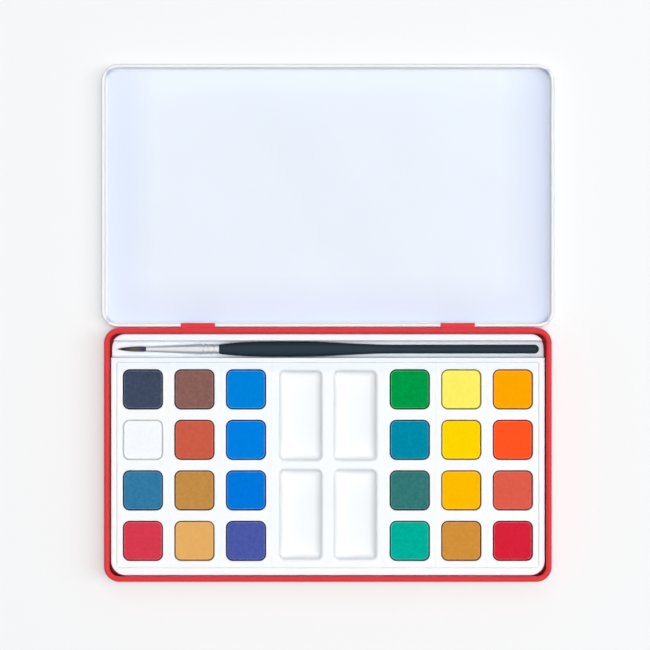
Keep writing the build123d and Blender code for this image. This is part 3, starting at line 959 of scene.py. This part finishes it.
def bright_metal(name, colour):
    """Plated ferrule, drawn along its length."""
    material, tree, shader = new_material(name, METAL_PLATE)
    lines = noise(tree, *METAL_LINES)
    tree.links.new(toned(tree, lines, colour, METAL_TONES), shader.inputs["Base Color"])
    bump(tree, shader, lines, METAL_RELIEF)
    return material


def brush_hair(name, colour):
    """Dyed hair, uneven from one hair to the next: dark tip, pale middle and dark end at the ferrule."""
    material, tree, shader = new_material(name, HAIR)
    low, high = box_mm("brush_hair")
    mouth = box_mm("brush_ferrule")[0].x
    streak = noise(tree, *HAIR_STREAKS)
    tip = toned(tree, streak, colour, HAIR_TIP_TONES)
    pale = between(tree, streak, veil(colour, HAIR_VEIL), HAIR_PALE)
    base = toned(tree, streak, HAIR_BASE, HAIR_BASE_TONES)
    body = mix(tree, place_along(tree, "X", low.x + HAIR_DARK_TIP, (low.x + high.x) / 2), tip, pale)
    body = mix(tree, place_along(tree, "X", mouth - HAIR_BASE_LENGTH, mouth - HAIR_BASE_FULL), body, base)
    tree.links.new(body, shader.inputs["Base Color"])
    return material


def seen(tree):
    """1 where the picture, a reflection or a transparency shows the surface, 0 where it only gives light."""
    path = tree.nodes.new("ShaderNodeLightPath")
    total = path.outputs["Is Camera Ray"]
    for kind in ("Is Glossy Ray", "Is Transmission Ray"):
        add = tree.nodes.new("ShaderNodeMath")
        add.operation = "ADD"
        add.use_clamp = True
        tree.links.new(total, add.inputs[0])
        tree.links.new(path.outputs[kind], add.inputs[1])
        total = add.outputs["Value"]
    return total


def floor_paper():
    """Seamless white paper under the set, which throws back less light on the set than it shows."""
    material, tree, shader = new_material("floor_paper", PAPER)
    cloud = noise(tree, *PAPER_CLOUD)
    white = toned(tree, cloud, FLOOR_WHITE, PAPER_TONES)
    grey = toned(tree, cloud, FLOOR_GREY, PAPER_TONES)
    tree.links.new(mix(tree, seen(tree), grey, white), shader.inputs["Base Color"])
    share = tree.nodes.new("ShaderNodeMath")
    share.operation = "MULTIPLY"
    share.inputs[1].default_value = FLOOR_GLOW
    tree.links.new(seen(tree), share.inputs[0])
    glow = tree.nodes.new("ShaderNodeEmission")
    blend = tree.nodes.new("ShaderNodeMixShader")
    tree.links.new(share.outputs["Value"], blend.inputs["Fac"])
    tree.links.new(shader.outputs["BSDF"], blend.inputs[1])
    tree.links.new(glow.outputs["Emission"], blend.inputs[2])
    tree.links.new(blend.outputs["Shader"], tree.nodes["Material Output"].inputs["Surface"])
    return material


FINISHES = {
    "red_tin": red_enamel,
    "white_tin": white_enamel,
    "white_plastic": moulded_plastic,
    "lacquered_wood": lacquer,
    "bright_metal": bright_metal,
    "dark_hair": brush_hair,
}


def record_materials():
    """One node material for each slot of the record, in the slot's own colour."""
    made = {}
    for entry in frame["record"]["materials"]:
        slot = entry["slot"]
        finish = FINISHES.get(slot, pressed_paint)
        made[slot] = finish(slot + "_look", tuple(entry["base_color"][:3]))
        made[slot]["slot"] = slot
    return made


# Stage

def add_floor():
    """Pale floor, large enough for every view."""
    size = FLOOR_REACH * MM
    mesh = bpy.data.meshes.new("floor")
    corners = [(size * side_x, size * side_y, 0) for side_x, side_y in QUARTERS]
    mesh.from_pydata(corners, [], [(0, 1, 2, 3)])
    floor = bpy.data.objects.new("floor", mesh)
    bpy.context.scene.collection.objects.link(floor)
    mesh.materials.append(floor_paper())


def add_lamps():
    """Soft lamps right of the set, behind it and over it; reflections show the white studio instead."""
    for name, (place, length, width, power) in LAMPS.items():
        data = bpy.data.lights.new(name, "AREA")
        data.shape = "RECTANGLE"
        data.size = length * MM
        data.size_y = width * MM
        data.energy = power
        lamp = bpy.data.objects.new(name, data)
        lamp.location = Vector(place) * MM
        lamp.visible_glossy = False
        bpy.context.scene.collection.objects.link(lamp)


def add_world():
    """White surroundings, which light the set more weakly than they look."""
    world = bpy.data.worlds.new("studio")
    world.use_nodes = True
    tree = world.node_tree
    fill = tree.nodes["Background"]
    fill.inputs["Color"].default_value = (*FILL_COLOUR, 1.0)
    fill.inputs["Strength"].default_value = FILL_LIGHT
    white = tree.nodes.new("ShaderNodeBackground")
    white.inputs["Color"].default_value = (*STUDIO_WHITE, 1.0)
    white.inputs["Strength"].default_value = 1.0
    blend = tree.nodes.new("ShaderNodeMixShader")
    tree.links.new(seen(tree), blend.inputs["Fac"])
    tree.links.new(fill.outputs["Background"], blend.inputs[1])
    tree.links.new(white.outputs["Background"], blend.inputs[2])
    tree.links.new(blend.outputs["Shader"], tree.nodes["World Output"].inputs["Surface"])
    bpy.context.scene.world = world


def add_camera():
    """Camera straight above the view's middle."""
    data = bpy.data.cameras.new("camera")
    data.sensor_fit = "HORIZONTAL"
    data.angle = 2 * math.atan(VIEW_WIDTH / 2 / CAMERA_HEIGHT)
    camera = bpy.data.objects.new("camera", data)
    camera.location = Vector((*VIEW_MIDDLE, CAMERA_HEIGHT)) * MM
    bpy.context.scene.collection.objects.link(camera)
    bpy.context.scene.camera = camera


bpy.context.scene.view_settings.view_transform = "Standard"
materials = record_materials()
make_tins(materials)
make_tray(materials)
make_inserts(materials)
make_cakes(materials)
make_brush(materials)
add_floor()
add_world()
add_lamps()
add_camera()
